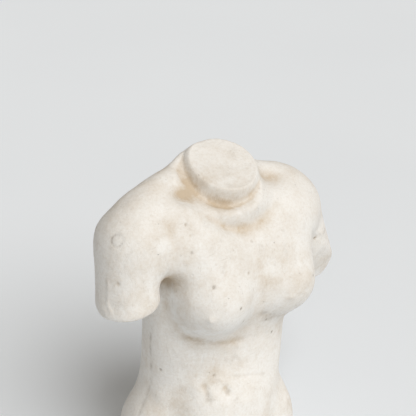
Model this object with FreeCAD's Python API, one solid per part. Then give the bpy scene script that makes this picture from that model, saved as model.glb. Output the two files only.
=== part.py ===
import FreeCAD, Part

import os
from math import cos, exp, hypot, radians, sin, sqrt

# Plaster cast of a classical female torso: closed neck, two arm stumps, cut level at the hips.
# Millimetres. The chest faces -Y, the figure's left is +X, up is +Z. The origin is under the
# middle of the base, on the face the cast stands on.

# ---- overall sizes of the plaster figure, and the sizes the form below is drawn at -----------
HEIGHT = 462.0
BREADTH = 416.0
DEPTH = 200.0
DRAWN_HEIGHT = 462.0
DRAWN_BREADTH = 416.0
DRAWN_DEPTH = 200.0
WIDE = BREADTH / DRAWN_BREADTH
DEEP = DEPTH / DRAWN_DEPTH
TALL = HEIGHT / DRAWN_HEIGHT

# ---- plaster, joints and cuts ----------------------------------------------------------------
WALL = 14.0               # thickness of the cast plaster
SEAM_Y = 6.0              # the two castings of the trunk meet in this plane
JOIN = 116.0 * WIDE       # distance of each arm joint face from the middle plane
RUN_ON = 3.0              # the trunk's own form is followed this far past a joint face
NECK_AT = (4.0 * WIDE, -8.0 * DEEP, 437.0 * TALL) # middle of the cut neck
NECK_TILT = (0.01, -0.44, 0.90)              # direction the cut neck faces
NECK_REACH = 70.0 * max(WIDE, DEEP)   # the neck cut doesn't reach further out than this
NECK_LIP = 6.0            # above the cut by this much, nothing of the neck is kept
CAP_THICK = 6.0           # closing disc of the neck
SPIGOT = 12.0             # how far the disc reaches down into the neck
RIM_ROUND = 6.0           # rounding round the end of the right arm
STUMP_AT = (178.0 * WIDE, -9.0 * DEEP, 226.0 * TALL)   # a point on the broken face
STUMP_FACES = (0.13, -0.93, -0.34)                      # direction the broken face looks in
CLEAR = 0.5               # clearance round screws and plugs
SKIN_GAP = 0.4            # gap between the plaster wall and anything laid against it

# ---- base ------------------------------------------------------------------------------------
PAD_THICK = 3.0           # cork under the board
BOARD_THICK = 12.0        # plywood closing the hollow
BOARD_INSET = 3.0         # how far the board stays inside the plaster outline
PAD_INSET = 7.0
PLASTER_FOOT = PAD_THICK + BOARD_THICK

# ---- timber frame inside ---------------------------------------------------------------------
BATTEN_WIDE = 40.0
BATTEN_THICK = 20.0
SPINE_X = -6.0
SPINE_TOP = 392.0 * TALL
SHOULDER_Z = 348.0 * TALL
HIP_Z = 82.0 * TALL
END_GAP = 8.0             # from a batten end to the plaster wall
WAD_LAP = 24.0            # length of batten bedded in a wad
WAD_DEEP = 66.0           # wad size front to back
WAD_TALL = 68.0
SCRIM_THICK = 3.0
SCRIM_WIDE = 46.0

# ---- fixings ---------------------------------------------------------------------------------
ARM_SCREW_R = 4.0
ARM_SCREW_HEAD_R = 8.0
ARM_SCREW_HEAD = 6.0
ARM_SCREW_GRIP = 34.0     # length of arm screw inside the shoulder batten
HEAD_DEPTH = 20.0         # depth of the screw seat under the plaster surface
PLUG_R = 9.5
RIGHT_ENTRY = (-172.0 * WIDE, -22.0 * DEEP, 394.0 * TALL)
LEFT_ENTRY = (158.0 * WIDE, -20.0 * DEEP, 312.0 * TALL)
LAP_SCREW_R = 2.5
LAP_HEAD_R = 4.5
LAP_HEAD = 3.0
LAP_SCREW_BITE = 14.0     # length of a lap screw inside the spine batten
FOOT_SCREW_BITE = 32.0

# ---- the drawn form --------------------------------------------------------------------------
# Sections of the trunk: height, half width right, half width left, depth front, depth back,
# turn about Z in degrees, x of the middle. The hips are turned against the chest.
SECTIONS = [
    (-60, 122, 116, 84, 84, -20, -20),
    (-30, 124, 118, 86, 86, -20, -20),
    (15, 124, 112, 84, 84, -20, -19),
    (70, 116, 99, 80, 76, -19, -18),
    (120, 107, 97, 74, 66, -17, -14),
    (165, 106, 99, 70, 66, -12, -9),
    (210, 108, 101, 70, 71, -6, -6),
    (260, 107, 99, 70, 76, -2, -3),
    (310, 104, 103, 64, 78, 0, 0),
    (350, 100, 100, 56, 78, 0, 0),
    (385, 82, 82, 46, 68, 0, 0),
    (415, 52, 52, 32, 52, 0, 0),
    (465, 30, 30, 20, 30, 0, 0),
    (560, 24, 24, 18, 24, 0, 0),
]
SQUARENESS = 2.35         # power of the section curves, 2 is an ellipse

# Masses laid into the trunk. A bar is: start, end, radius at start, radius at end, blend, depth
# ratio. A ball is: middle, half sizes, blend.
BARS = [
    ((3, 6, 395), (6, -30, 525), 50, 48, 22, 1.02),         # neck
    ((-30, 24, 438), (-120, 10, 415), 21, 24, 30, 1.0),     # slope of the right shoulder
    ((20, 26, 427), (112, 12, 384), 24, 22, 30, 1.0),       # slope of the left shoulder
    ((-18, -40, 407), (-120, -12, 405), 14, 14, 26, 1.0),   # collar bones
    ((18, -40, 405), (116, -8, 372), 14, 13, 26, 1.0),
    ((-149, -2, 371), (-169, -24, 255), 39, 42, 12, 1.14),   # right upper arm
    ((138, 8, 340), (179, 11, 238), 37, 35, 15, 1.1),       # left upper arm
]
BALLS = [
    ((-141, 0, 377), (40, 44, 44), 30),       # shoulders
    ((120, 6, 354), (41, 42, 45), 30),
    ((-80, -38, 358), (46, 28, 42), 24),      # muscle in front of each arm
    ((88, -35, 337), (48, 28, 46), 28),
    ((-57, -60, 286), (50, 47, 48), 30),      # breasts
    ((60, -62, 275), (48, 44, 44), 34),
    ((0, -44, 300), (60, 34, 66), 36),        # breastbone
    ((-58, -48, 323), (44, 28, 54), 30),      # slopes above them
    ((60, -48, 303), (44, 28, 54), 30),
    ((-66, 58, 357), (42, 22, 58), 30),       # shoulder blades
    ((66, 58, 337), (42, 22, 58), 30),
    ((-36, -56, 75), (60, 36, 70), 40),       # belly
    ((-116, 16, 57), (28, 44, 50), 34),       # hip bones
    ((66, -38, 48), (26, 42, 48), 34),
    ((-44, 62, 22), (54, 42, 60), 34),        # seat
    ((40, 40, 18), (54, 42, 60), 34),
]
# Furrows: start, end, depth, width.
FURROWS = [
    ((-4, 100, 5), (0, 78, 395), 6.0, 15.0),      # spine
    ((-50, -84, 100), (-22, -78, 225), 3.0, 12.0), # line down the belly
    ((-52, -92, 151), (-52, -92, 155), 6.0, 8.0), # navel
    ((-118, -70, 326), (-114, 5, 308), 10.0, 12.0),  # crease in front of the right armpit
    ((-114, -54, 300), (-112, -20, 276), 6.0, 9.0),
]

# Height, half length of the line the section rays start from, upward tilt of the rays.
RAYS = [
    (-60, 78, 0), (0, 78, 0), (60, 64, 0), (130, 50, 0), (200, 44, 0), (265, 50, 0),
    (310, 58, 0), (345, 62, 12), (380, 54, 26), (410, 30, 34), (440, 8, 28), (480, 0, 10),
    (500, 0, 0), (560, 0, 0),
]
STEP_TURN = 5             # degrees between rays round the trunk
ARM_STEP = 8              # degrees between rays round an arm
RIGHT_PIVOT_Z = 312.0     # height of the hinge line the right arm's sections fan about
LEFT_PIVOT_Z = 271.0
ARM_CENTRE = 50.0         # from the hinge line to the middle of the arm
LEVEL = 90.0              # turn of a section that lies level
RIGHT_ARM_TURN = 98.0     # how far the right arm's sections turn, past level
RIGHT_ARM_DROP = 2.0      # straight length after the turn, before the rounded end
RIGHT_ARM_Y = 2.0         # middle of the right arm at the joint, and how far it comes forward
RIGHT_ARM_FORWARD = 16.0
LEFT_ARM_Y = 4.0          # middle of the left arm at the joint, and how far it goes back
LEFT_ARM_BACK = 7.2
LEFT_ARM_LEAN = 0.1       # backward lean of the left stump below the turn
LEFT_ARM_DROPS = (8, 16, 24, 32, 42, 52, 59, 63)
FAN_STEPS = 10            # sections through each arm's turn
RIM_STEP = 15             # degrees between sections round the right arm's end
ARMPIT_FLOOR = 240.0      # drawn height under which the trunk has no joint faces
ROW_BANDS = [(-10, 226, 12), (232, 332, 6), (334, 450, 5), (458, 501, 14)]
FURROW_NEAR = 30.0        # furrows only shape the skin this close to the surface

# ---- how a ray finds the skin ----------------------------------------------------------------
RAY_LIMIT = 400.0
STRIDE = 0.85             # share of the clear distance taken at each step
SHORTEST_STEP = 1.5
HALVINGS = 11

# ---- working lengths -------------------------------------------------------------------------
FAR = 600.0               # larger than the figure
CUT_PAST = 1.0            # cutters start this far outside the face they enter
PLUG_OUTSIDE = 60.0       # plug and its seat are drawn this far outside the skin, then trimmed
WAD_REACH = 80.0          # a wad is drawn this far past the batten end, then trimmed to the wall
SCRIM_GAP = 8.0           # between a wad and the band of scrim above or below it
BROW_GAP = 4.0            # between the shoulder wad and the band over the shoulder
FLANK_FROM = 30.0         # flank bands start this far from the middle plane
BROW_FROM = 48.0          # shoulder bands run between these distances from the middle plane
BROW_TO = 100.0


def along_table(table, z):
    """Smooth values from a table whose first column is height."""
    last = len(table) - 1
    if z <= table[0][0]:
        return table[0][1:]
    if z >= table[last][0]:
        return table[last][1:]
    i = 0
    while table[i + 1][0] < z:
        i += 1
    span = table[i + 1][0] - table[i][0]
    t = (z - table[i][0]) / span
    weights = (2 * t**3 - 3 * t**2 + 1, t**3 - 2 * t**2 + t, 3 * t**2 - 2 * t**3, t**3 - t**2)
    before, after = max(i - 1, 0), min(i + 2, last)
    out = []
    for k in range(1, len(table[0])):
        slope_a = (table[i + 1][k] - table[before][k]) / (table[i + 1][0] - table[before][0])
        slope_b = (table[after][k] - table[i][k]) / (table[after][0] - table[i][0])
        out.append(weights[0] * table[i][k] + weights[1] * slope_a * span
                   + weights[2] * table[i + 1][k] + weights[3] * slope_b * span)
    return out


KNOWN = {}


def section(z):
    """The trunk section at a drawn height, remembered because it is asked for often."""
    key = round(z, 2)
    if key not in KNOWN:
        row = along_table(SECTIONS, key)
        KNOWN[key] = tuple(row) + (cos(radians(row[4])), sin(radians(row[4])))
    return KNOWN[key]


def trunk_core(x, y, z):
    """Distance outside the plain trunk section, negative inside."""
    right, left, front, back, _, middle, c, s = section(z)
    x -= middle
    u = c * x + s * y
    v = c * y - s * x
    half_u = left if u > 0 else right
    half_v = back if v > 0 else front
    au = abs(u / half_u) + 1e-9
    av = abs(v / half_v) + 1e-9
    size = (au ** SQUARENESS + av ** SQUARENESS) ** (1 / SQUARENESS)
    gu = (au / size) ** (SQUARENESS - 1) / half_u
    gv = (av / size) ** (SQUARENESS - 1) / half_v
    return (size - 1) / hypot(gu, gv)


def share_along(p, a, b):
    """How far along the line a-b the nearest point to p lies, and the squared distance to it."""
    lx, ly, lz = b[0] - a[0], b[1] - a[1], b[2] - a[2]
    dx, dy, dz = p[0] - a[0], p[1] - a[1], p[2] - a[2]
    h = (dx * lx + dy * ly + dz * lz) / (lx * lx + ly * ly + lz * lz)
    h = min(1.0, max(0.0, h))
    ex, ey, ez = dx - h * lx, dy - h * ly, dz - h * lz
    return h, ex * ex + ey * ey + ez * ez


def bar_distance(x, y, z, bar):
    a, b, ra, rb, _, deep = bar
    flat_a = (a[0], a[1] / deep, a[2])
    flat_b = (b[0], b[1] / deep, b[2])
    h, square = share_along((x, y / deep, z), flat_a, flat_b)
    return sqrt(square) - ra - (rb - ra) * h


def ball_distance(x, y, z, ball):
    (cx, cy, cz), (rx, ry, rz), _ = ball
    u, v, w = (x - cx) / rx, (y - cy) / ry, (z - cz) / rz
    k0 = sqrt(u * u + v * v + w * w)
    k1 = sqrt((u / rx) ** 2 + (v / ry) ** 2 + (w / rz) ** 2)
    return k0 * (k0 - 1) / k1 if k1 > 1e-9 else -min(rx, ry, rz)


def melt(d, e, blend):
    """The union of two forms, filleted over the blend distance."""
    h = max(blend - abs(d - e), 0.0) / blend
    return min(d, e) - h * h * blend / 4


def form(x, y, z):
    """Distance outside the whole figure in millimetres, negative inside, furrows included."""
    x, y, z = x / WIDE, y / DEEP, z / TALL
    d = trunk_core(x, y, z)
    for bar in BARS:
        d = melt(d, bar_distance(x, y, z, bar), bar[4])
    for ball in BALLS:
        (cx, cy, cz), sizes, blend = ball
        reach = max(sizes) + blend + max(d, 0.0)
        if (x - cx) ** 2 + (y - cy) ** 2 + (z - cz) ** 2 < reach * reach:
            d = melt(d, ball_distance(x, y, z, ball), blend)
    if abs(d) < FURROW_NEAR:
        for a, b, deep, wide in FURROWS:
            _, square = share_along((x, y, z), a, b)
            d += deep * exp(-square / (wide * wide))
    return d * min(WIDE, DEEP, TALL)


def trunk_form(x, y, z):
    """The figure with its arms run out into plain cones beyond the joint faces."""
    over = abs(x) - JOIN - RUN_ON
    if over > 0 and z > ARMPIT_FLOOR * TALL:
        return form(x - over if x > 0 else x + over, y, z) + over
    return form(x, y, z)


def reach(shape, start, way, inset):
    """Distance from an inside point along a direction to the skin, less the inset."""
    sx, sy, sz = start
    wx, wy, wz = way
    t, inside = 0.0, 0.0
    while t < RAY_LIMIT:
        value = shape(sx + wx * t, sy + wy * t, sz + wz * t) + inset
        if value > 0:
            break
        inside = t
        t += max(-value * STRIDE, SHORTEST_STEP)
    low, high = inside, t
    for _ in range(HALVINGS):
        middle = (low + high) / 2
        if shape(sx + wx * middle, sy + wy * middle, sz + wz * middle) + inset > 0:
            high = middle
        else:
            low = middle
    return (low + high) / 2


def moved(start, way, t):
    return FreeCAD.Vector(start[0] + way[0] * t, start[1] + way[1] * t, start[2] + way[2] * t)


def trunk_heights():
    """Drawn heights of the trunk rows, closer together round the breasts and shoulders."""
    heights = []
    for low, high, step in ROW_BANDS:
        heights += list(range(low, high, step))
    return heights


def trunk_rows(inset):
    """Rows of points round the trunk at a given depth under the skin."""
    rows = []
    for height in trunk_heights():
        spread, rise = along_table(RAYS, height)
        middle = section(height)[5] * WIDE
        row = []
        for step in range(0, 360, STEP_TURN):
            c, s = cos(radians(step)), sin(radians(step))
            start = (middle + max(spread, 0) * WIDE * c, 0.0, height * TALL)
            level = cos(radians(rise))
            way = (c * level, s * level, sin(radians(rise)))
            row.append(moved(start, way, reach(trunk_form, start, way, inset)))
        rows.append(row)
    return rows


def arm_rows(side, pivot_z, stations):
    """Rows of points along an arm. A station is: turn, drop, y of the middle, inward step."""
    rows = []
    for turn, drop, middle_y, step_in in stations:
        p = radians(turn)
        out = (side * sin(p), 0.0, cos(p))
        down = (side * cos(p), 0.0, -sin(p))
        start = (side * JOIN + out[0] * ARM_CENTRE * WIDE + down[0] * drop,
                 middle_y * DEEP,
                 pivot_z * TALL + out[2] * ARM_CENTRE * TALL + down[2] * drop)
        row = []
        for step in range(0, 360, ARM_STEP):
            c, s = cos(radians(step)), sin(radians(step))
            way = (out[0] * c, s, out[2] * c)
            row.append(moved(start, way, reach(form, start, way, 0.0) - step_in))
        rows.append(row)
    return rows


def skinned(rows):
    """A solid with a smooth side drawn over a net of points, closed flat at both ends."""
    around = len(rows[0])
    net = [[row[i] for row in rows] for i in range(around)]
    spans = len(rows) - 3
    surface = Part.BSplineSurface()
    surface.buildFromPolesMultsKnots(
        net, [1] * (around + 1), [4] + [1] * (spans - 1) + [4],
        list(range(around + 1)), list(range(spans + 1)), True, False, 3, 3)
    side = surface.toShape()
    ends = [edge for edge in side.Edges if edge.isClosed()]
    shell = Part.makeShell([side] + [Part.Face(Part.Wire(edge)) for edge in ends])
    shell.sewShape()
    solid = Part.makeSolid(shell)
    if solid.Volume < 0:
        solid.reverse()
    return solid


def block(x0, x1, y0, y1, z0, z1):
    return Part.makeBox(x1 - x0, y1 - y0, z1 - z0, FreeCAD.Vector(x0, y0, z0))


def rod(radius, start, way, t0, t1):
    """A round bar about the line from start along way, between two distances."""
    return Part.makeCylinder(radius, t1 - t0, moved(start, way, t0), FreeCAD.Vector(*way))


def unit(v):
    size = sqrt(v[0] ** 2 + v[1] ** 2 + v[2] ** 2)
    return (v[0] / size, v[1] / size, v[2] / size)


def only(shape):
    """The one solid of a result, or the largest where a cut leaves a crumb."""
    return max(shape.Solids, key=lambda solid: solid.Volume)


def outline(height, inset, bottom, top):
    """A level plate with the figure's outline at a drawn height, less the inset."""
    points = []
    middle = section(height)[5] * WIDE
    spread = along_table(RAYS, height)[0] * WIDE
    for step in range(0, 360, STEP_TURN):
        c, s = cos(radians(step)), sin(radians(step))
        start = (middle + spread * c, 0.0, height * TALL)
        far = reach(form, start, (c, s, 0.0), inset)
        points.append(FreeCAD.Vector(start[0] + c * far, s * far, bottom))
    curve = Part.BSplineCurve()
    curve.interpolate(Points=points, PeriodicFlag=True)
    face = Part.Face(Part.Wire(curve.toShape()))
    return face.extrude(FreeCAD.Vector(0, 0, top - bottom))


def batten_ends(z, half):
    """Where a crosswise batten stops, right and left, short of the plaster wall."""
    ends = []
    for side in (-1, 1):
        middle = section(z / TALL)[5] * WIDE
        found = []
        for dy in (-BATTEN_THICK / 2, BATTEN_THICK / 2):
            for dz in (-half, half):
                start = (middle, dy, z + dz)
                found.append(middle + side * reach(trunk_form, start, (side, 0, 0), WALL))
        ends.append(max(found) + END_GAP if side < 0 else min(found) - END_GAP)
    return ends


def main():
    os.makedirs("parts", exist_ok=True)
    parts = {}
    neck_way = unit(NECK_TILT)

    # The trunk as solids: outside skin, inside wall, and two skins laid inside the wall.
    outside = skinned(trunk_rows(0.0))
    inside = skinned(trunk_rows(WALL))
    laid = skinned(trunk_rows(WALL + SKIN_GAP))
    laid_in = skinned(trunk_rows(WALL + SKIN_GAP + SCRIM_THICK))

    # Neck: a closing disc with a spigot, cut from the trunk's own form.
    under_cap = moved(NECK_AT, neck_way, -CAP_THICK)
    above = Part.makeCylinder(NECK_REACH, FAR, under_cap, FreeCAD.Vector(*neck_way))
    well_above = rod(FAR, NECK_AT, neck_way, NECK_LIP, FAR)
    disc = rod(NECK_REACH, NECK_AT, neck_way, -CAP_THICK, 0.0)
    spigot = rod(NECK_REACH, NECK_AT, neck_way, -CAP_THICK - SPIGOT, -CAP_THICK)
    cap = only(outside.common(disc)).fuse(only(laid.common(spigot)))
    parts["neck_cap"] = only(cap.removeSplitter())

    # Trunk shell, cut level at the foot, at the arm joints and under the neck disc.
    shell = outside.cut(inside)
    shell = shell.cut(above).cut(well_above)
    shell = shell.cut(block(-FAR, FAR, -FAR, FAR, -FAR, PLASTER_FOOT))
    for side in (-1, 1):
        near, far = sorted((side * JOIN, side * FAR))
        shell = shell.cut(block(near, far, -FAR, FAR, ARMPIT_FLOOR * TALL, FAR))

    # Arms, run out from the joint faces.
    right_end_y = RIGHT_ARM_Y - RIGHT_ARM_FORWARD
    stations = []
    for i in range(FAN_STEPS + 1):
        share = i / FAN_STEPS
        stations.append((RIGHT_ARM_TURN * share, 0.0, RIGHT_ARM_Y - RIGHT_ARM_FORWARD * share, 0.0))
    for angle in range(0, 91, RIM_STEP):
        stations.append((RIGHT_ARM_TURN,
                         RIGHT_ARM_DROP * TALL + RIM_ROUND * sin(radians(angle)),
                         right_end_y, RIM_ROUND * (1 - cos(radians(angle)))))
    right_arm = skinned(arm_rows(-1, RIGHT_PIVOT_Z, stations))
    left_end_y = LEFT_ARM_Y + LEFT_ARM_BACK
    stations = []
    for i in range(FAN_STEPS + 1):
        share = i / FAN_STEPS
        stations.append((LEVEL * share, 0.0, LEFT_ARM_Y + LEFT_ARM_BACK * share, 0.0))
    for drop in LEFT_ARM_DROPS:
        stations.append((LEVEL, drop * TALL, left_end_y + LEFT_ARM_LEAN * drop, 0.0))
    left_arm = skinned(arm_rows(1, LEFT_PIVOT_Z, stations))
    broken = Part.makeCylinder(FAR, FAR, FreeCAD.Vector(*STUMP_AT), FreeCAD.Vector(*STUMP_FACES))
    left_arm = only(left_arm.cut(broken))

    # Timber frame: an upright and two crosspieces lapped in front of it.
    front, back = -BATTEN_THICK / 2, BATTEN_THICK / 2
    spine = block(SPINE_X - BATTEN_WIDE / 2, SPINE_X + BATTEN_WIDE / 2,
                  back, back + BATTEN_THICK, PLASTER_FOOT, SPINE_TOP)
    half = BATTEN_WIDE / 2
    shoulder_ends = batten_ends(SHOULDER_Z, half)
    shoulder = block(shoulder_ends[0], shoulder_ends[1], front, back,
                     SHOULDER_Z - half, SHOULDER_Z + half)
    hip_ends = batten_ends(HIP_Z, half)
    hip = block(hip_ends[0], hip_ends[1], front, back, HIP_Z - half, HIP_Z + half)

    # Lap screws through the crosspieces into the upright.
    for name, z in (("shoulder", SHOULDER_Z), ("hip", HIP_Z)):
        start = (SPINE_X, front, z)
        head = rod(LAP_HEAD_R, start, (0, 1, 0), -LAP_HEAD, 0.0)
        shank = rod(LAP_SCREW_R, start, (0, 1, 0), 0.0, BATTEN_THICK + LAP_SCREW_BITE)
        hole = rod(LAP_SCREW_R + CLEAR, start, (0, 1, 0), -CUT_PAST, BATTEN_THICK + LAP_SCREW_BITE)
        parts[name + "_lap_screw"] = only(head.fuse(shank))
        spine = spine.cut(hole)
        if name == "shoulder":
            shoulder = shoulder.cut(hole)
        else:
            hip = hip.cut(hole)

    # Wads of plaster and scrim bedding the batten ends against the wall.
    wads = {}
    for name, beam, ends, z in (("shoulder", shoulder, shoulder_ends, SHOULDER_Z),
                                ("hip", hip, hip_ends, HIP_Z)):
        for word, end, sign in (("right", ends[0], -1), ("left", ends[1], 1)):
            x0, x1 = sorted((end - sign * WAD_LAP, end + sign * WAD_REACH))
            lump = block(x0, x1, -WAD_DEEP / 2, WAD_DEEP / 2, z - WAD_TALL / 2, z + WAD_TALL / 2)
            wads[word + "_" + name + "_wad"] = only(lump.common(laid)).cut(beam)

    # Each arm is held by a long screw from under a plaster plug into the shoulder batten.
    arms = {"right": right_arm, "left": left_arm}
    entries = {"right": RIGHT_ENTRY, "left": LEFT_ENTRY}
    for word, sign, end in (("right", -1, shoulder_ends[0]), ("left", 1, shoulder_ends[1])):
        entry = entries[word]
        target = (end, 0.0, SHOULDER_Z)
        way = unit([target[i] - entry[i] for i in range(3)])
        run = sqrt(sum((target[i] - entry[i]) ** 2 for i in range(3)))
        tip = run + ARM_SCREW_GRIP
        head = rod(ARM_SCREW_HEAD_R, entry, way, HEAD_DEPTH - ARM_SCREW_HEAD, HEAD_DEPTH)
        shank = rod(ARM_SCREW_R, entry, way, HEAD_DEPTH, tip)
        hole = rod(ARM_SCREW_R + CLEAR, entry, way, HEAD_DEPTH, tip)
        sunk = rod(PLUG_R, entry, way, -PLUG_OUTSIDE, HEAD_DEPTH)
        plug = rod(PLUG_R - CLEAR, entry, way, -PLUG_OUTSIDE, HEAD_DEPTH - ARM_SCREW_HEAD)
        parts[word + "_arm_screw"] = only(head.fuse(shank))
        parts[word + "_arm_plug"] = only(arms[word].common(plug))
        parts[word + "_arm_stump"] = only(arms[word].cut(sunk).cut(hole))
        shell = shell.cut(hole)
        shoulder = shoulder.cut(hole)
        name = word + "_shoulder_wad"
        wads[name] = wads[name].cut(hole)
    for name, wad in wads.items():
        parts[name] = only(wad)

    # Seam down both flanks and over the shoulders: the shell is two castings.
    parts["front_shell"] = only(shell.common(block(-FAR, FAR, -FAR, SEAM_Y, -FAR, FAR)))
    parts["back_shell"] = only(shell.common(block(-FAR, FAR, SEAM_Y, FAR, -FAR, FAR)))

    # Scrim bands laid over the seams inside.
    skin = laid.cut(laid_in)
    low = HIP_Z + WAD_TALL / 2 + SCRIM_GAP
    high = SHOULDER_Z - WAD_TALL / 2 - SCRIM_GAP
    brow = SHOULDER_Z + WAD_TALL / 2 + BROW_GAP
    for word, sign in (("right", -1), ("left", 1)):
        x0, x1 = sorted((sign * FLANK_FROM * WIDE, sign * FAR))
        band = block(x0, x1, -SCRIM_WIDE / 2, SCRIM_WIDE / 2, low, high)
        parts[word + "_flank_scrim"] = only(skin.common(band))
        x0, x1 = sorted((sign * BROW_FROM * WIDE, sign * BROW_TO * WIDE))
        band = block(x0, x1, -SCRIM_WIDE / 2, SCRIM_WIDE / 2, brow, FAR)
        parts[word + "_shoulder_scrim"] = only(skin.common(band))

    # Base: plywood closing the hollow, screwed to the upright, cork under it.
    board = outline(PLASTER_FOOT / TALL, BOARD_INSET, PAD_THICK, PLASTER_FOOT)
    foot = (SPINE_X, back + BATTEN_THICK / 2, PAD_THICK)
    seat = rod(LAP_HEAD_R + CLEAR, foot, (0, 0, 1), 0.0, LAP_HEAD)
    hole = rod(LAP_SCREW_R + CLEAR, foot, (0, 0, 1), LAP_HEAD, BOARD_THICK + FOOT_SCREW_BITE)
    head = rod(LAP_HEAD_R, foot, (0, 0, 1), 0.0, LAP_HEAD)
    shank = rod(LAP_SCREW_R, foot, (0, 0, 1), LAP_HEAD, BOARD_THICK + FOOT_SCREW_BITE)
    parts["base_board"] = only(board.cut(seat).cut(hole))
    parts["spine_batten"] = only(spine.cut(hole))
    parts["spine_foot_screw"] = only(head.fuse(shank))
    parts["cork_pad"] = outline(PLASTER_FOOT / TALL, PAD_INSET, 0.0, PAD_THICK)
    parts["shoulder_batten"] = only(shoulder)
    parts["hip_batten"] = only(hip)

    for name, shape in parts.items():
        shape.exportStep("parts/" + name + ".step")
        print(name, shape.ShapeType, round(shape.Volume), "ok" if shape.isValid() else "INVALID")


if __name__ == "__main__":
    main()
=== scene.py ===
import math

import bmesh
import bpy
import numpy as np
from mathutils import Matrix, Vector, noise
from mathutils.bvhtree import BVHTree


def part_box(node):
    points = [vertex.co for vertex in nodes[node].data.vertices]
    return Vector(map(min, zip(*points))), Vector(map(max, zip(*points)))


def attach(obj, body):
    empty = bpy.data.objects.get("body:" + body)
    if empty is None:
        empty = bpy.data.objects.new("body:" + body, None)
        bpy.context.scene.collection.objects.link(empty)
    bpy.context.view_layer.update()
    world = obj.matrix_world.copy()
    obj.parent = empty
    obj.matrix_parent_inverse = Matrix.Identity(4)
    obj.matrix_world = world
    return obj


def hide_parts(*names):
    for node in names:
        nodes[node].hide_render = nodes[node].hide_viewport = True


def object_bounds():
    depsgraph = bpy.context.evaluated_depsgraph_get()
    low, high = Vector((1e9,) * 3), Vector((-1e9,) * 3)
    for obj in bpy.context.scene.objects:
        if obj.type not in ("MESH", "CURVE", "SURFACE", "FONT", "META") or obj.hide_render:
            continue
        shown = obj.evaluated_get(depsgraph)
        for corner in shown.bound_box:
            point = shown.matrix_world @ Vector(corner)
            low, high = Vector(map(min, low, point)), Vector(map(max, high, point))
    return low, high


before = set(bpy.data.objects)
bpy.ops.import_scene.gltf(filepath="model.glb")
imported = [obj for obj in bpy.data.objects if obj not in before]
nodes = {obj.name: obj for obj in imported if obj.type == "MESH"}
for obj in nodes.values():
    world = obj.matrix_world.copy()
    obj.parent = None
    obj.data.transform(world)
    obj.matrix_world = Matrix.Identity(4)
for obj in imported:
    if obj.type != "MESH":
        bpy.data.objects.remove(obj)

cad_low, cad_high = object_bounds()

# ---- Camera ----------------------------------------------------------------------------------
# The cast is looked down on from its right front, close enough that the hips run out of the
# frame. It aims at the middle of the chest.
CAMERA_ROUND = math.radians(-38)
CAMERA_UP = math.radians(26)
CAMERA_AWAY = 1.5
CAMERA_FIELD = math.radians(21)
chest = Vector((-0.014, 0.007, 0.380))
towards_camera = Vector((math.sin(CAMERA_ROUND) * math.cos(CAMERA_UP),
                         -math.cos(CAMERA_ROUND) * math.cos(CAMERA_UP),
                         math.sin(CAMERA_UP)))

camera_data = bpy.data.cameras.new("studio_camera")
camera_data.angle = CAMERA_FIELD
camera_data.clip_end = 50
camera = bpy.data.objects.new("studio_camera", camera_data)
camera.location = chest + towards_camera * CAMERA_AWAY
camera.rotation_euler = towards_camera.to_track_quat("Z", "Y").to_euler()
bpy.context.scene.collection.objects.link(camera)
bpy.context.scene.camera = camera


# ---- Floor -----------------------------------------------------------------------------------
# A plain pale painted floor, large enough to be the whole background from any side. It is a
# stage piece and no part of the cast.
FLOOR_HALF = 9.0
FLOOR_COLOUR = (0.89, 0.94, 1.0, 1)


def linked(name, mesh):
    piece = bpy.data.objects.new(name, mesh)
    bpy.context.scene.collection.objects.link(piece)
    return piece


def new_material(name):
    """An empty node material with its shader joined to its output."""
    material = bpy.data.materials.new(name)
    material.use_nodes = True
    tree = material.node_tree
    tree.nodes.clear()
    output = tree.nodes.new("ShaderNodeOutputMaterial")
    shader = tree.nodes.new("ShaderNodeBsdfPrincipled")
    tree.links.new(shader.outputs["BSDF"], output.inputs["Surface"])
    return material, tree, shader


def noise_in(tree, vector, scale, detail=3.0, roughness=0.5, distortion=0.0):
    node = tree.nodes.new("ShaderNodeTexNoise")
    node.inputs["Scale"].default_value = scale
    node.inputs["Detail"].default_value = detail
    node.inputs["Roughness"].default_value = roughness
    node.inputs["Distortion"].default_value = distortion
    tree.links.new(vector, node.inputs["Vector"])
    return node.outputs["Fac"]


def ramp_in(tree, value, low, high, to_low=0.0, to_high=1.0):
    """The value stretched so that low to high becomes to_low to to_high, and held there."""
    node = tree.nodes.new("ShaderNodeMapRange")
    node.inputs["From Min"].default_value = low
    node.inputs["From Max"].default_value = high
    node.inputs["To Min"].default_value = to_low
    node.inputs["To Max"].default_value = to_high
    tree.links.new(value, node.inputs["Value"])
    return node.outputs["Result"]


def maths_in(tree, kind, a, b):
    node = tree.nodes.new("ShaderNodeMath")
    node.operation = kind
    for socket, value in ((node.inputs[0], a), (node.inputs[1], b)):
        if isinstance(value, (int, float)):
            socket.default_value = value
        else:
            tree.links.new(value, socket)
    return node.outputs[0]


def blend_in(tree, share, a, b):
    """Colour a mixed towards colour b by a share that varies over the surface."""
    node = tree.nodes.new("ShaderNodeMix")
    node.data_type = "RGBA"
    if isinstance(share, (int, float)):
        node.inputs["Factor"].default_value = share
    else:
        tree.links.new(share, node.inputs["Factor"])
    for socket, value in ((node.inputs[6], a), (node.inputs[7], b)):
        if isinstance(value, tuple):
            socket.default_value = value
        else:
            tree.links.new(value, socket)
    return node.outputs[2]


def place_in(tree, scale=(1, 1, 1), turn=(0, 0, 0)):
    """Object coordinates in metres, stretched and turned."""
    coordinates = tree.nodes.new("ShaderNodeTexCoord")
    mapping = tree.nodes.new("ShaderNodeMapping")
    mapping.inputs["Scale"].default_value = scale
    mapping.inputs["Rotation"].default_value = turn
    tree.links.new(coordinates.outputs["Object"], mapping.inputs["Vector"])
    return mapping.outputs["Vector"]


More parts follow.
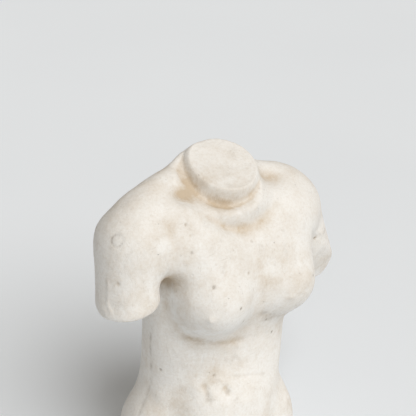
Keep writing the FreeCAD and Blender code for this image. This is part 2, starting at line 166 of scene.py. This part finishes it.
def bump_in(tree, shader, height, strength, distance):
    node = tree.nodes.new("ShaderNodeBump")
    node.inputs["Strength"].default_value = strength
    node.inputs["Distance"].default_value = distance
    tree.links.new(height, node.inputs["Height"])
    tree.links.new(node.outputs["Normal"], shader.inputs["Normal"])


floor_shape = bmesh.new()
bmesh.ops.create_grid(floor_shape, x_segments=2, y_segments=2, size=FLOOR_HALF)
floor_mesh = bpy.data.meshes.new("floor")
floor_shape.to_mesh(floor_mesh)
floor_shape.free()
floor = linked("floor", floor_mesh)
floor_paint, tree, shader = new_material("floor_paint")
cloud = noise_in(tree, place_in(tree), 1.3, 2.0)
tree.links.new(blend_in(tree, ramp_in(tree, cloud, 0.3, 0.7, 0.0, 0.25), FLOOR_COLOUR,
                        (0.82, 0.865, 0.93, 1)), shader.inputs["Base Color"])
shader.inputs["Roughness"].default_value = 0.9
floor_mesh.materials.append(floor_paint)


# ---- Light -----------------------------------------------------------------------------------
# One broad soft light from in front of the chest and above, and an even, dimmer, warm sky all
# round that keeps the sides and the back of the cast from going dark.
KEY_FROM = Vector((0.03, -0.66, 0.76)).normalized()
KEY_STRENGTH = 2.42
KEY_SOFTNESS = math.radians(48)
SKY_COLOUR = (1.0, 0.92, 0.81, 1)
SKY_STRENGTH = 0.26

key_data = bpy.data.lights.new("window_light", "SUN")
key_data.angle = KEY_SOFTNESS
key_data.energy = KEY_STRENGTH
key_data.color = (1.0, 0.98, 0.95)
key = bpy.data.objects.new("window_light", key_data)
key.rotation_euler = KEY_FROM.to_track_quat("Z", "Y").to_euler()
bpy.context.scene.collection.objects.link(key)

sky = bpy.data.worlds.new("sky")
sky.use_nodes = True
sky.node_tree.nodes["Background"].inputs["Color"].default_value = SKY_COLOUR
sky.node_tree.nodes["Background"].inputs["Strength"].default_value = SKY_STRENGTH
bpy.context.scene.world = sky
bpy.context.scene.view_settings.view_transform = "Standard"


# ---- The cast figure -------------------------------------------------------------------------
# Plaster castings joined so that they read as one figure: two half shells, two arm stumps and
# the disc of the neck, with the board that shuts the foot. One skin is drawn over all of them
# and parted at the joints further on.
FUSE_VOXEL = 0.003
SKIN_VOXEL = 0.0021
MM = 0.001
NECK_MIDDLE = Vector((0.004, -0.008, 0.437))
NECK_TILT = Vector((0.01, -0.44, 0.90)).normalized()
NECK_SIDE = (Vector((1, 0, 0)) - NECK_TILT * NECK_TILT.x).normalized()
NECK_FORE = NECK_SIDE.cross(NECK_TILT)
WELD = 0.00001
OUTSIDE = 0.5                  # a place well outside the figure, to look in from
seam_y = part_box("back_shell")[0].y

FIGURE_NODES = ("front_shell", "back_shell", "right_arm_stump", "left_arm_stump", "neck_cap",
                "right_arm_plug", "left_arm_plug", "base_board")


def remeshed(mesh, voxel):
    """A closed even mesh drawn over another, in squares of one size."""
    holder = linked("remesh_holder", mesh)
    modifier = holder.modifiers.new("voxels", "REMESH")
    modifier.mode = "VOXEL"
    modifier.voxel_size = voxel
    ready = holder.evaluated_get(bpy.context.evaluated_depsgraph_get())
    result = bpy.data.meshes.new_from_object(ready)
    bpy.data.objects.remove(holder)
    return result


def points_of(mesh):
    flat = np.empty(len(mesh.vertices) * 3)
    mesh.vertices.foreach_get("co", flat)
    return flat.reshape(-1, 3)


def normals_of(mesh):
    flat = np.empty(len(mesh.vertices) * 3)
    mesh.vertices.foreach_get("normal", flat)
    return flat.reshape(-1, 3)


def set_points(mesh, points):
    mesh.vertices.foreach_set("co", points.ravel())
    mesh.update()


def edges_of(mesh):
    flat = np.empty(len(mesh.edges) * 2, dtype=np.int32)
    mesh.edges.foreach_get("vertices", flat)
    return flat.reshape(-1, 2)


def relaxed(values, edges, rounds):
    """Values at the vertices drawn halfway to their neighbours' mean, again and again."""
    count = len(values)
    a, b = edges[:, 0], edges[:, 1]
    neighbours = np.bincount(a, minlength=count) + np.bincount(b, minlength=count)
    columns = values.reshape(count, -1).copy()
    for _ in range(rounds):
        for k in range(columns.shape[1]):
            column = columns[:, k]
            total = np.bincount(a, column[b], count) + np.bincount(b, column[a], count)
            columns[:, k] += 0.5 * (total / neighbours - column)
    return columns.reshape(values.shape)


together = bmesh.new()
for name in FIGURE_NODES:
    together.from_mesh(nodes[name].data)
bmesh.ops.remove_doubles(together, verts=together.verts, dist=WELD)
joined = bpy.data.meshes.new("joined")
together.to_mesh(joined)
together.free()
rough = remeshed(joined, FUSE_VOXEL)
set_points(rough, relaxed(points_of(rough), edges_of(rough), 1))
skin = remeshed(rough, SKIN_VOXEL)
edges = edges_of(skin)
points = relaxed(points_of(skin), edges, 2)
set_points(skin, points)

# Marks left by mould, tools and handling are worked into the skin. Each is placed by its share of
# the figure's breadth and height and lands where a line from the front meets the skin.
finder = BVHTree.FromPolygons([Vector(p) for p in points],
                              [tuple(f.vertices) for f in skin.polygons])


def height_at(up):
    return cad_low.z + up * (cad_high.z - cad_low.z)


def spot(across, up, from_side=0.0):
    """The skin point met from in front, or from a side share of the way round, at shares."""
    through = Vector((cad_low.x + across * (cad_high.x - cad_low.x), 0, height_at(up)))
    way = Vector((from_side, 1, 0)).normalized()
    found = finder.ray_cast(through - way * OUTSIDE, way)[0]
    return np.array(found if found else through)


def lumps(size, seed):
    """Soft unevenness of one size over the whole skin, between about -1 and 1."""
    shift = Vector((seed * 3.1, seed * 1.7, seed * 2.3))
    return np.array([noise.noise(Vector(p) / size + shift) for p in points])


lift = np.zeros(len(points))
stain_and_shade = np.zeros(len(points))
patchy = np.clip(0.62 + 1.1 * lumps(0.009, 5), 0.05, 1.25)


def distance_to_line(spots):
    best = np.full(len(points), 1.0)
    pairs = zip(spots, spots[1:]) if len(spots) > 1 else [(spots[0], spots[0])]
    for a, b in pairs:
        run = b - a
        share = np.clip(((points - a) @ run) / max(run @ run, 1e-12), 0, 1)
        gap = points - a - share[:, None] * run
        best = np.minimum(best, np.sqrt((gap * gap).sum(axis=1)))
    return best


def worked(spots, height, width, dirt_and_shade=0.0, dirt_and_shade_width=None):
    """Raises or sinks the skin along a line of spots, and darkens it there: dirt at most marks,
    painted shade in the folds under the breasts.
    """
    away = distance_to_line(spots)
    lift[:] += height * np.exp(-(away / width) ** 2)
    if dirt_and_shade:
        soiled_and_shaded = dirt_and_shade * patchy * np.exp(-(away / (dirt_and_shade_width or width)) ** 2)
        stain_and_shade[:] = np.maximum(stain_and_shade, soiled_and_shaded)


# Hand-pressed unevenness, at three sizes.
lift += 0.55 * MM * lumps(0.034, 1) + 0.28 * MM * lumps(0.014, 2) + 0.10 * MM * lumps(0.006, 3)

# Nipples, the fold under the right breast, and the shallow one under the left.
right_nipple = [spot(0.274, 0.610)]
worked(right_nipple, 2.6 * MM, 4.2 * MM)
worked(right_nipple, 1.2 * MM, 11 * MM)
worked([spot(0.590, 0.590)], 1.8 * MM, 5 * MM)
# Painted shade: the stain colour darkens both folds under the breasts.
worked([spot(0.262, 0.505), spot(0.305, 0.490), spot(0.378, 0.470), spot(0.456, 0.455)],
       -1.0 * MM, 7 * MM, 0.12, 9 * MM)
worked([spot(0.505, 0.540), spot(0.555, 0.510), spot(0.60, 0.505)],
       -0.9 * MM, 8 * MM, 0.2, 12 * MM)

# The cut neck stands up as a round column: the skin about it is lowered along the neck's own
# direction, most in front and on the right, and runs out again over the collar bones.
ROUND_NECK = 48 * MM
NECK_ROLL = 70 * MM            # from the neck's middle line to the roll at its foot
SHALLOWEST = 4 * MM
DEEPER_IN_FRONT = 19 * MM
DEEPEST_TOWARDS = -30          # degrees, 0 in front and -90 to the figure's right
column_middle = NECK_MIDDLE + NECK_SIDE * 3 * MM - NECK_FORE * 11 * MM
from_middle = points - np.array(column_middle)
above = from_middle @ np.array(NECK_TILT)
outward = from_middle - above[:, None] * np.array(NECK_TILT)
reach = np.sqrt((outward ** 2).sum(axis=1))
turned = np.degrees(np.arctan2(outward @ np.array(NECK_SIDE), outward @ np.array(NECK_FORE)))


def eased(values, start, end):
    share = np.clip((values - start) / (end - start), 0, 1)
    return share * share * (3 - 2 * share)


facing = np.exp(-((turned - DEEPEST_TOWARDS) / 68) ** 2)
deep = SHALLOWEST + DEEPER_IN_FRONT * facing
deep *= eased(reach, ROUND_NECK - 2 * MM, ROUND_NECK + 7 * MM)
deep *= 1 - eased(reach, ROUND_NECK + 12 * MM, ROUND_NECK + 58 * MM)
deep *= eased(above, -80 * MM, -45 * MM)
points = points - deep[:, None] * np.array(NECK_TILT)
rim_away = np.abs(reach - ROUND_NECK + 1.5 * MM)
lift += 0.8 * MM * np.exp(-(rim_away / (2.5 * MM)) ** 2) * (above > -4 * MM)
roll = np.exp(-((reach - NECK_ROLL) / (9 * MM)) ** 2) * facing * (above > -60 * MM)
lift += 3.0 * MM * roll

# Belly: navel, soft lumps and the groove between them, and a faint level line above.
worked([spot(0.376, 0.318), spot(0.380, 0.306)], -2.4 * MM, 5 * MM, 0.30, 5 * MM)
for across, up in ((0.215, 0.285), (0.294, 0.327), (0.349, 0.286), (0.433, 0.264)):
    worked([spot(across, up)], 2.0 * MM, 13 * MM)
worked([spot(0.315, 0.330), spot(0.316, 0.296)], -1.4 * MM, 5 * MM, 0.3)
worked([spot(0.416, 0.344), spot(0.474, 0.333), spot(0.536, 0.314)], -0.6 * MM, 2.6 * MM, 0.12)

# Right arm: a ragged flash line from the mould, and a chip.
OUTER = 0.75
worked([spot(0.06, 0.742, OUTER), spot(0.06, 0.714, OUTER), spot(0.055, 0.684, OUTER),
        spot(0.07, 0.662, OUTER)], 0.9 * MM, 2.2 * MM, 0.16, 3 * MM)
worked([spot(0.10, 0.742, OUTER)], -1.5 * MM, 2.6 * MM, 0.8, 2.4 * MM)

# The right arm is cut off square, with a full edge raised in front and on its outer side.
worked([spot(0.185, 0.650), spot(0.185, 0.636)], 4.5 * MM, 13 * MM)
worked([spot(0.045, 0.655, OUTER)], 2.0 * MM, 12 * MM)

# Left stump: a pit, and a raised broken edge above it.
worked([spot(0.850, 0.643)], -1.8 * MM, 2.6 * MM, 0.9, 2.2 * MM)
worked([spot(0.80, 0.675), spot(0.86, 0.66), spot(0.905, 0.64)], 0.8 * MM, 2.4 * MM)

# Pinholes, where air was caught against the mould.
PINHOLES = ((0.221, 0.374), (0.534, 0.506), (0.270, 0.866), (0.257, 0.80),
            (0.488, 0.773), (0.270, 0.842), (0.375, 0.625), (0.44, 0.70), (0.62, 0.83),
            (0.70, 0.62), (0.35, 0.36), (0.30, 0.70), (0.58, 0.44), (0.41, 0.56))
for across, up in PINHOLES:
    worked([spot(across, up)], -1.1 * MM, 1.9 * MM, 1.0, 1.7 * MM)

# The mould seam down each flank shows brown.
for side in (-1, 1):
    down = []
    for up in (0.48, 0.42, 0.36, 0.30, 0.22, 0.14, 0.06):
        start = Vector((side * OUTSIDE, seam_y, height_at(up)))
        found = finder.ray_cast(start, Vector((-side, 0, 0)))[0]
        if found:
            down.append(np.array(found))
    worked(down, -0.4 * MM, 2.4 * MM, 0.30, 2.4 * MM)

# The stopping over each arm screw has shrunk a little below the skin.
PLUG_RING = 7.5 * MM
for side in ("right", "left"):
    plug_low, plug_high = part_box(side + "_arm_plug")
    plug_middle = (plug_low + plug_high) / 2
    screw_low, screw_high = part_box(side + "_arm_screw")
    out = (plug_middle - (screw_low + screw_high) / 2).normalized()
    face = finder.ray_cast(plug_middle - out * 0.004, out)[0] or plug_middle
    away = np.sqrt(((points - np.array(face)) ** 2).sum(axis=1))
    lift += -0.45 * MM * np.exp(-((away - PLUG_RING) / (1.8 * MM)) ** 2)
    stain_and_shade = np.maximum(stain_and_shade, 0.5 * patchy * np.exp(-((away - PLUG_RING) / (1.2 * MM)) ** 2))

normals = relaxed(normals_of(skin), edges, 2)
points = points + normals * lift[:, None]
margin = 0.2 * MM
points = np.clip(points, np.array(cad_low) + margin, np.array(cad_high) - margin)
set_points(skin, points)

# Hollows keep dust and old varnish, and the wide hollows also carry painted shade. Near hollows
# and wide ones are measured apart.
NEAR_ROUNDS, WIDE_ROUNDS, EVEN_ROUNDS = 40, 260, 60
NEAR_FULL, WIDE_FULL = 1.1 * MM, 4.2 * MM
near_form = relaxed(points, edges, NEAR_ROUNDS)
wide_form = relaxed(near_form, edges, WIDE_ROUNDS)
normals = normals_of(skin)
near_hollow = np.clip(((near_form - points) * normals).sum(axis=1) / NEAR_FULL, 0, 1)
wide_patina_and_shade = np.tanh(np.clip(((wide_form - points) * normals).sum(axis=1), 0, 1) / WIDE_FULL)
wide_patina_and_shade = relaxed(wide_patina_and_shade, edges, EVEN_ROUNDS)
for label, values in (("near_hollow", near_hollow), ("wide_patina_and_shade", wide_patina_and_shade),
                      ("stain_and_shade", np.clip(stain_and_shade, 0, 1))):
    layer = skin.attributes.new(label, "FLOAT", "POINT")
    layer.data.foreach_set("value", values.astype(np.float32))


# ---- Plaster finish --------------------------------------------------------------------------
# Cast plaster gone warm with age: pale where it is handled, beige in its hollows, with grey
# smudges, scratches and fine pits, and painted shade in the wide hollows and the folds under the
# breasts. One node group holds the ageing and the painted shade, fed by the skin's hollows.
HAND_GREY = (0.40, 0.355, 0.30, 1)
SCRATCH_GREY = (0.42, 0.37, 0.30, 1)
# The brown of stains and dirt, and of the painted shade in the folds under the breasts.
DIRT_AND_SHADE_BROWN = (0.17, 0.125, 0.085, 1)
PALE_PLASTER = (0.87, 0.86, 0.835, 1)
# The deep tone is both the beige patina of the hollows and the painted shade in the wide ones.
DEEP_PLASTER = (0.58, 0.48, 0.36, 1)


def aged_and_shaded_plaster_group():
    group = bpy.data.node_groups.new("aged_and_shaded_plaster", "ShaderNodeTree")
    for name, kind in (("Pale", "NodeSocketColor"), ("Deep", "NodeSocketColor"),
                       ("Near Hollow", "NodeSocketFloat"), ("Wide Patina And Shade", "NodeSocketFloat"),
                       ("Stain And Shade", "NodeSocketFloat")):
        group.interface.new_socket(name, in_out="INPUT", socket_type=kind)
    for name, kind in (("Color", "NodeSocketColor"), ("Roughness", "NodeSocketFloat"),
                       ("Height", "NodeSocketFloat")):
        group.interface.new_socket(name, in_out="OUTPUT", socket_type=kind)
    enter = group.nodes.new("NodeGroupInput")
    leave = group.nodes.new("NodeGroupOutput")
    there = place_in(group)

    # cloudy colour of the wash, broad and then hand sized
    broad = ramp_in(group, noise_in(group, there, 11, 3.0, 0.55), 0.32, 0.68)
    patch = ramp_in(group, noise_in(group, there, 34, 5.0, 0.62), 0.38, 0.66)
    grain = noise_in(group, there, 260, 6.0, 0.68)
    fine = noise_in(group, there, 900, 3.0, 0.6)

    # beige patina collects in hollows, and painted shade darkens the wide ones, broken up by the
    # grain
    hollow = maths_in(group, "MULTIPLY", enter.outputs["Wide Patina And Shade"], 0.85)
    close = maths_in(group, "MULTIPLY", enter.outputs["Near Hollow"], 0.55)
    hollow = maths_in(group, "ADD", hollow, close)
    broken = maths_in(group, "ADD", maths_in(group, "MULTIPLY", patch, 0.5), 0.55)
    hollow = maths_in(group, "MULTIPLY", hollow, broken)
    veil = maths_in(group, "MULTIPLY", maths_in(group, "MULTIPLY", broad, patch), 0.46)
    age_and_shade = maths_in(group, "ADD", hollow, veil)
    age_and_shade = maths_in(group, "ADD", age_and_shade, ramp_in(group, grain, 0.42, 0.72, 0.0, 0.22))
    colour = blend_in(group, age_and_shade, enter.outputs["Pale"], enter.outputs["Deep"])

    # grey smudges rubbed on by hands and easels
    rubbed = noise_in(group, place_in(group, (1, 1, 0.6), (0.4, 0.2, 0.9)), 48, 8.0, 0.75, 0.6)
    rubbed = ramp_in(group, rubbed, 0.56, 0.76, 0.0, 0.32)
    colour = blend_in(group, rubbed, colour, HAND_GREY)

    # scratches, long in one direction
    scratch = noise_in(group, place_in(group, (1, 1, 0.07), (0.3, 0.9, 0.4)), 420, 2.0, 0.5, 0.3)
    scratch = ramp_in(group, scratch, 0.665, 0.72, 0.0, 0.16)
    level = noise_in(group, place_in(group, (0.08, 1, 1), (0.1, 0.3, -0.5)), 380, 2.0, 0.5, 0.3)
    level = ramp_in(group, level, 0.67, 0.72, 0.0, 0.14)
    marks = maths_in(group, "MAXIMUM", scratch, level)
    colour = blend_in(group, marks, colour, SCRATCH_GREY)

    # fine pits, few and dark, and the stains, with painted shade in the folds under the breasts
    cells = group.nodes.new("ShaderNodeTexVoronoi")
    cells.inputs["Scale"].default_value = 130
    group.links.new(there, cells.inputs["Vector"])
    pit = ramp_in(group, cells.outputs["Distance"], 0.0, 0.16, 1.0, 0.0)
    chosen = ramp_in(group, noise_in(group, there, 60, 2.0), 0.60, 0.66)
    pit = maths_in(group, "MULTIPLY", pit, chosen)
    faint_pit = maths_in(group, "MULTIPLY", pit, 0.35)
    dark = maths_in(group, "MAXIMUM", enter.outputs["Stain And Shade"], faint_pit)
    dark = maths_in(group, "MULTIPLY", dark, ramp_in(group, grain, 0.30, 0.55, 0.45, 1.0))
    colour = blend_in(group, dark, colour, DIRT_AND_SHADE_BROWN)
    group.links.new(colour, leave.inputs["Color"])

    group.links.new(ramp_in(group, grain, 0.3, 0.7, 0.62, 0.86), leave.inputs["Roughness"])

    height = maths_in(group, "ADD", maths_in(group, "MULTIPLY", grain, 0.55),
                      maths_in(group, "MULTIPLY", fine, 0.22))
    height = maths_in(group, "ADD", height, maths_in(group, "MULTIPLY", patch, 0.45))
    height = maths_in(group, "SUBTRACT", height, maths_in(group, "MULTIPLY", marks, 0.5))
    height = maths_in(group, "SUBTRACT", height, maths_in(group, "MULTIPLY", pit, 0.9))
    group.links.new(height, leave.inputs["Height"])
    return group


cast_plaster, tree, shader = new_material("cast_plaster")
aged_and_shaded = tree.nodes.new("ShaderNodeGroup")
aged_and_shaded.node_tree = aged_and_shaded_plaster_group()
aged_and_shaded.inputs["Pale"].default_value = PALE_PLASTER
aged_and_shaded.inputs["Deep"].default_value = DEEP_PLASTER
for label, socket in (("near_hollow", "Near Hollow"), ("wide_patina_and_shade", "Wide Patina And Shade"),
                      ("stain_and_shade", "Stain And Shade")):
    attribute = tree.nodes.new("ShaderNodeAttribute")
    attribute.attribute_name = label
    tree.links.new(attribute.outputs["Fac"], aged_and_shaded.inputs[socket])
tree.links.new(aged_and_shaded.outputs["Color"], shader.inputs["Base Color"])
tree.links.new(aged_and_shaded.outputs["Roughness"], shader.inputs["Roughness"])
bump_in(tree, shader, aged_and_shaded.outputs["Height"], 0.9, 1.2 * MM)


# ---- Trunk, arms and neck disc ---------------------------------------------------------------
# The castings are parted on the same faces as the moulds: level at the foot, upright at both
# arms, along the flank seam, and square across the neck. Each piece is closed where it is cut.
ARMPIT_FLOOR = 0.240
DISC_THICK = 0.006
DISC_REACH = 0.052
CLOSE_BY = 0.01                # faces this near a cut are the ones it may divide
NEAR_NECK = 0.03
CUT_EXACT = 1e-7
ALONG_X, ALONG_Y, ALONG_Z = Vector((1, 0, 0)), Vector((0, 1, 0)), Vector((0, 0, 1))
foot_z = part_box("front_shell")[0].z
right_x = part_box("right_arm_stump")[1].x
left_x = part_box("left_arm_stump")[0].x


def of_right_arm(p):
    return p.x < right_x and p.z > ARMPIT_FLOOR


def of_left_arm(p):
    return p.x > left_x and p.z > ARMPIT_FLOOR


def of_neck_disc(p):
    up = (p - column_middle).dot(NECK_TILT)
    out = (p - column_middle) - NECK_TILT * up
    return up > -DISC_THICK and out.length < DISC_REACH


def scored(shape, point, normal, wanted):
    """Cuts the faces that a test picks along a plane, and leaves both sides."""
    faces = [f for f in shape.faces if wanted(f.calc_center_median())]
    geometry = set(faces)
    for face in faces:
        geometry.update(face.edges)
        geometry.update(face.verts)
    bmesh.ops.bisect_plane(shape, geom=list(geometry), plane_co=point, plane_no=normal,
                           dist=CUT_EXACT)


def closed_over(shape):
    """Fills the open edges that a cut left, and keeps those edges crisp."""
    open_edges = [e for e in shape.edges if len(e.link_faces) == 1]
    for edge in open_edges:
        edge.smooth = False
    before = set(shape.faces)
    bmesh.ops.triangle_fill(shape, use_beauty=True, use_dissolve=False, edges=open_edges)
    for face in shape.faces:
        if face not in before:
            face.smooth = False


def without(shape, dropped):
    """Takes away the faces that a test picks, and closes what is left."""
    faces = [f for f in shape.faces if dropped(f.calc_center_median())]
    bmesh.ops.delete(shape, geom=faces, context="FACES")
    closed_over(shape)


def made(shape, name, replaced):
    """A finished piece in place of CAD nodes, riding with the rest."""
    bmesh.ops.recalc_face_normals(shape, faces=shape.faces)
    mesh = bpy.data.meshes.new(name)
    shape.to_mesh(mesh)
    shape.free()
    mesh.materials.append(cast_plaster)
    piece = linked(name, mesh)
    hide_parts(*replaced)
    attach(piece, "root")


whole = bmesh.new()
whole.from_mesh(skin)
for face in whole.faces:
    face.smooth = True
for joint_x in (right_x, left_x):
    scored(whole, Vector((joint_x, 0, 0)), ALONG_X,
           lambda p: abs(p.x - joint_x) < CLOSE_BY and p.z > ARMPIT_FLOOR)
scored(whole, NECK_MIDDLE - NECK_TILT * DISC_THICK, NECK_TILT,
       lambda p: abs((p - NECK_MIDDLE).dot(NECK_TILT)) < NEAR_NECK
       and (p - NECK_MIDDLE).length < DISC_REACH + CLOSE_BY)
scored(whole, Vector((0, 0, foot_z)), ALONG_Z, lambda p: abs(p.z - foot_z) < CLOSE_BY)
scored(whole, Vector((0, seam_y, 0)), ALONG_Y, lambda p: abs(p.y - seam_y) < CLOSE_BY)

right_arm = whole.copy()
without(right_arm, lambda p: not of_right_arm(p))
left_arm = whole.copy()
without(left_arm, lambda p: not of_left_arm(p))
neck_disc = whole.copy()
without(neck_disc, lambda p: not of_neck_disc(p))
trunk = whole.copy()
whole.free()
without(trunk, lambda p: of_right_arm(p))
without(trunk, lambda p: of_left_arm(p))
without(trunk, lambda p: of_neck_disc(p))
without(trunk, lambda p: p.z < foot_z)
# The fills just made run across the seam, so every face is cut there before the halves part.
scored(trunk, Vector((0, seam_y, 0)), ALONG_Y, lambda p: True)
front = trunk.copy()
without(front, lambda p: p.y > seam_y)
back = trunk.copy()
without(back, lambda p: p.y < seam_y)
trunk.free()

made(front, "front_cast", ["front_shell"])
made(back, "back_cast", ["back_shell"])
made(right_arm, "right_arm_cast", ["right_arm_stump", "right_arm_plug"])
made(left_arm, "left_arm_cast", ["left_arm_stump", "left_arm_plug"])
made(neck_disc, "neck_disc", ["neck_cap"])


# ---- Timber frame ----------------------------------------------------------------------------
# Sawn pine battens inside the hollow, an upright and two cross pieces lapped onto it. Each one's
# grain runs along its length.
def put_on(names, material):
    for name in names:
        mesh = nodes[name].data
        mesh.materials.clear()
        mesh.materials.append(material)


def timber_finish(name, along, light, dark):
    material, tree, shader = new_material(name)
    there = place_in(tree, along)
    rings = noise_in(tree, there, 95, 3.0, 0.55, 0.8)
    fibre = noise_in(tree, there, 620, 4.0, 0.7)
    grain = maths_in(tree, "ADD", maths_in(tree, "MULTIPLY", rings, 0.7),
                     maths_in(tree, "MULTIPLY", fibre, 0.3))
    colour = blend_in(tree, ramp_in(tree, grain, 0.38, 0.62), light, dark)
    tree.links.new(colour, shader.inputs["Base Color"])
    tree.links.new(ramp_in(tree, fibre, 0.3, 0.7, 0.55, 0.8), shader.inputs["Roughness"])
    bump_in(tree, shader, grain, 0.4, 0.0006)
    return material


PINE_LIGHT = (0.72, 0.52, 0.31, 1)
PINE_DARK = (0.50, 0.31, 0.15, 1)
put_on(["spine_batten"], timber_finish("pine_upright", (1, 1, 0.07), PINE_LIGHT, PINE_DARK))
put_on(["shoulder_batten", "hip_batten"],
       timber_finish("pine_level", (0.07, 1, 1), PINE_LIGHT, PINE_DARK))


# ---- Base board ------------------------------------------------------------------------------
# Birch plywood that closes the foot of the hollow. The faces show broad grain and the edge shows
# the plies as light and dark lines.
plywood, tree, shader = new_material("plywood")
face_grain = noise_in(tree, place_in(tree, (0.08, 1, 1)), 70, 4.0, 0.6, 0.6)
plies = tree.nodes.new("ShaderNodeTexWave")
plies.bands_direction = "Z"
plies.inputs["Scale"].default_value = 92
plies.inputs["Distortion"].default_value = 0.4
tree.links.new(place_in(tree), plies.inputs["Vector"])
board_colour = blend_in(tree, ramp_in(tree, face_grain, 0.35, 0.65), (0.70, 0.55, 0.36, 1),
                        (0.56, 0.40, 0.23, 1))
board_colour = blend_in(tree, ramp_in(tree, plies.outputs["Fac"], 0.55, 0.9, 0.0, 0.5),
                        board_colour, (0.36, 0.23, 0.12, 1))
tree.links.new(board_colour, shader.inputs["Base Color"])
shader.inputs["Roughness"].default_value = 0.62
bump_in(tree, shader, face_grain, 0.3, 0.0004)
put_on(["base_board"], plywood)


# ---- Cork pad --------------------------------------------------------------------------------
# Pressed cork under the board: granules of several browns with darker gaps.
cork, tree, shader = new_material("cork")
granules = tree.nodes.new("ShaderNodeTexVoronoi")
granules.inputs["Scale"].default_value = 420
tree.links.new(place_in(tree), granules.inputs["Vector"])
tone = noise_in(tree, place_in(tree), 300, 3.0, 0.6)
cork_colour = blend_in(tree, ramp_in(tree, tone, 0.35, 0.65), (0.50, 0.33, 0.18, 1),
                       (0.34, 0.20, 0.10, 1))
cork_colour = blend_in(tree, ramp_in(tree, granules.outputs["Distance"], 0.45, 0.8, 0.0, 0.7),
                       cork_colour, (0.16, 0.09, 0.05, 1))
tree.links.new(cork_colour, shader.inputs["Base Color"])
shader.inputs["Roughness"].default_value = 0.9
bump_in(tree, shader, granules.outputs["Distance"], 0.5, 0.0005)
put_on(["cork_pad"], cork)


# ---- Screws ----------------------------------------------------------------------------------
# Bright zinc-plated wood screws, two holding the arms and three the timber, with a dull bloom.
zinc, tree, shader = new_material("zinc_steel")
bloom = noise_in(tree, place_in(tree), 700, 4.0, 0.6)
tree.links.new(blend_in(tree, ramp_in(tree, bloom, 0.35, 0.65), (0.66, 0.67, 0.68, 1),
                        (0.46, 0.46, 0.45, 1)), shader.inputs["Base Color"])
tree.links.new(ramp_in(tree, bloom, 0.3, 0.7, 0.28, 0.5), shader.inputs["Roughness"])
shader.inputs["Metallic"].default_value = 1.0
put_on(["right_arm_screw", "left_arm_screw", "shoulder_lap_screw", "hip_lap_screw",
        "spine_foot_screw"], zinc)


# ---- Scrim and wads --------------------------------------------------------------------------
# Open jute cloth soaked in plaster: bands over the inner seams and wads round the batten ends.
# The weave still shows through the plaster.
scrim, tree, shader = new_material("scrim_plaster")
weave = []
for direction in ("X", "Z"):
    threads = tree.nodes.new("ShaderNodeTexWave")
    threads.bands_direction = direction
    threads.inputs["Scale"].default_value = 95
    threads.inputs["Distortion"].default_value = 1.2
    tree.links.new(place_in(tree), threads.inputs["Vector"])
    weave.append(threads.outputs["Fac"])
cloth = maths_in(tree, "MULTIPLY", weave[0], weave[1])
coat = noise_in(tree, place_in(tree), 60, 5.0, 0.6)
scrim_colour = blend_in(tree, ramp_in(tree, coat, 0.35, 0.65), (0.82, 0.78, 0.71, 1),
                        (0.66, 0.58, 0.46, 1))
scrim_colour = blend_in(tree, ramp_in(tree, cloth, 0.2, 0.8, 0.0, 0.35), scrim_colour,
                        (0.50, 0.38, 0.24, 1))
tree.links.new(scrim_colour, shader.inputs["Base Color"])
shader.inputs["Roughness"].default_value = 0.88
bump_in(tree, shader, cloth, 0.5, 0.0008)
put_on([side + "_" + place for side in ("right", "left")
        for place in ("shoulder_wad", "hip_wad", "flank_scrim", "shoulder_scrim")], scrim)
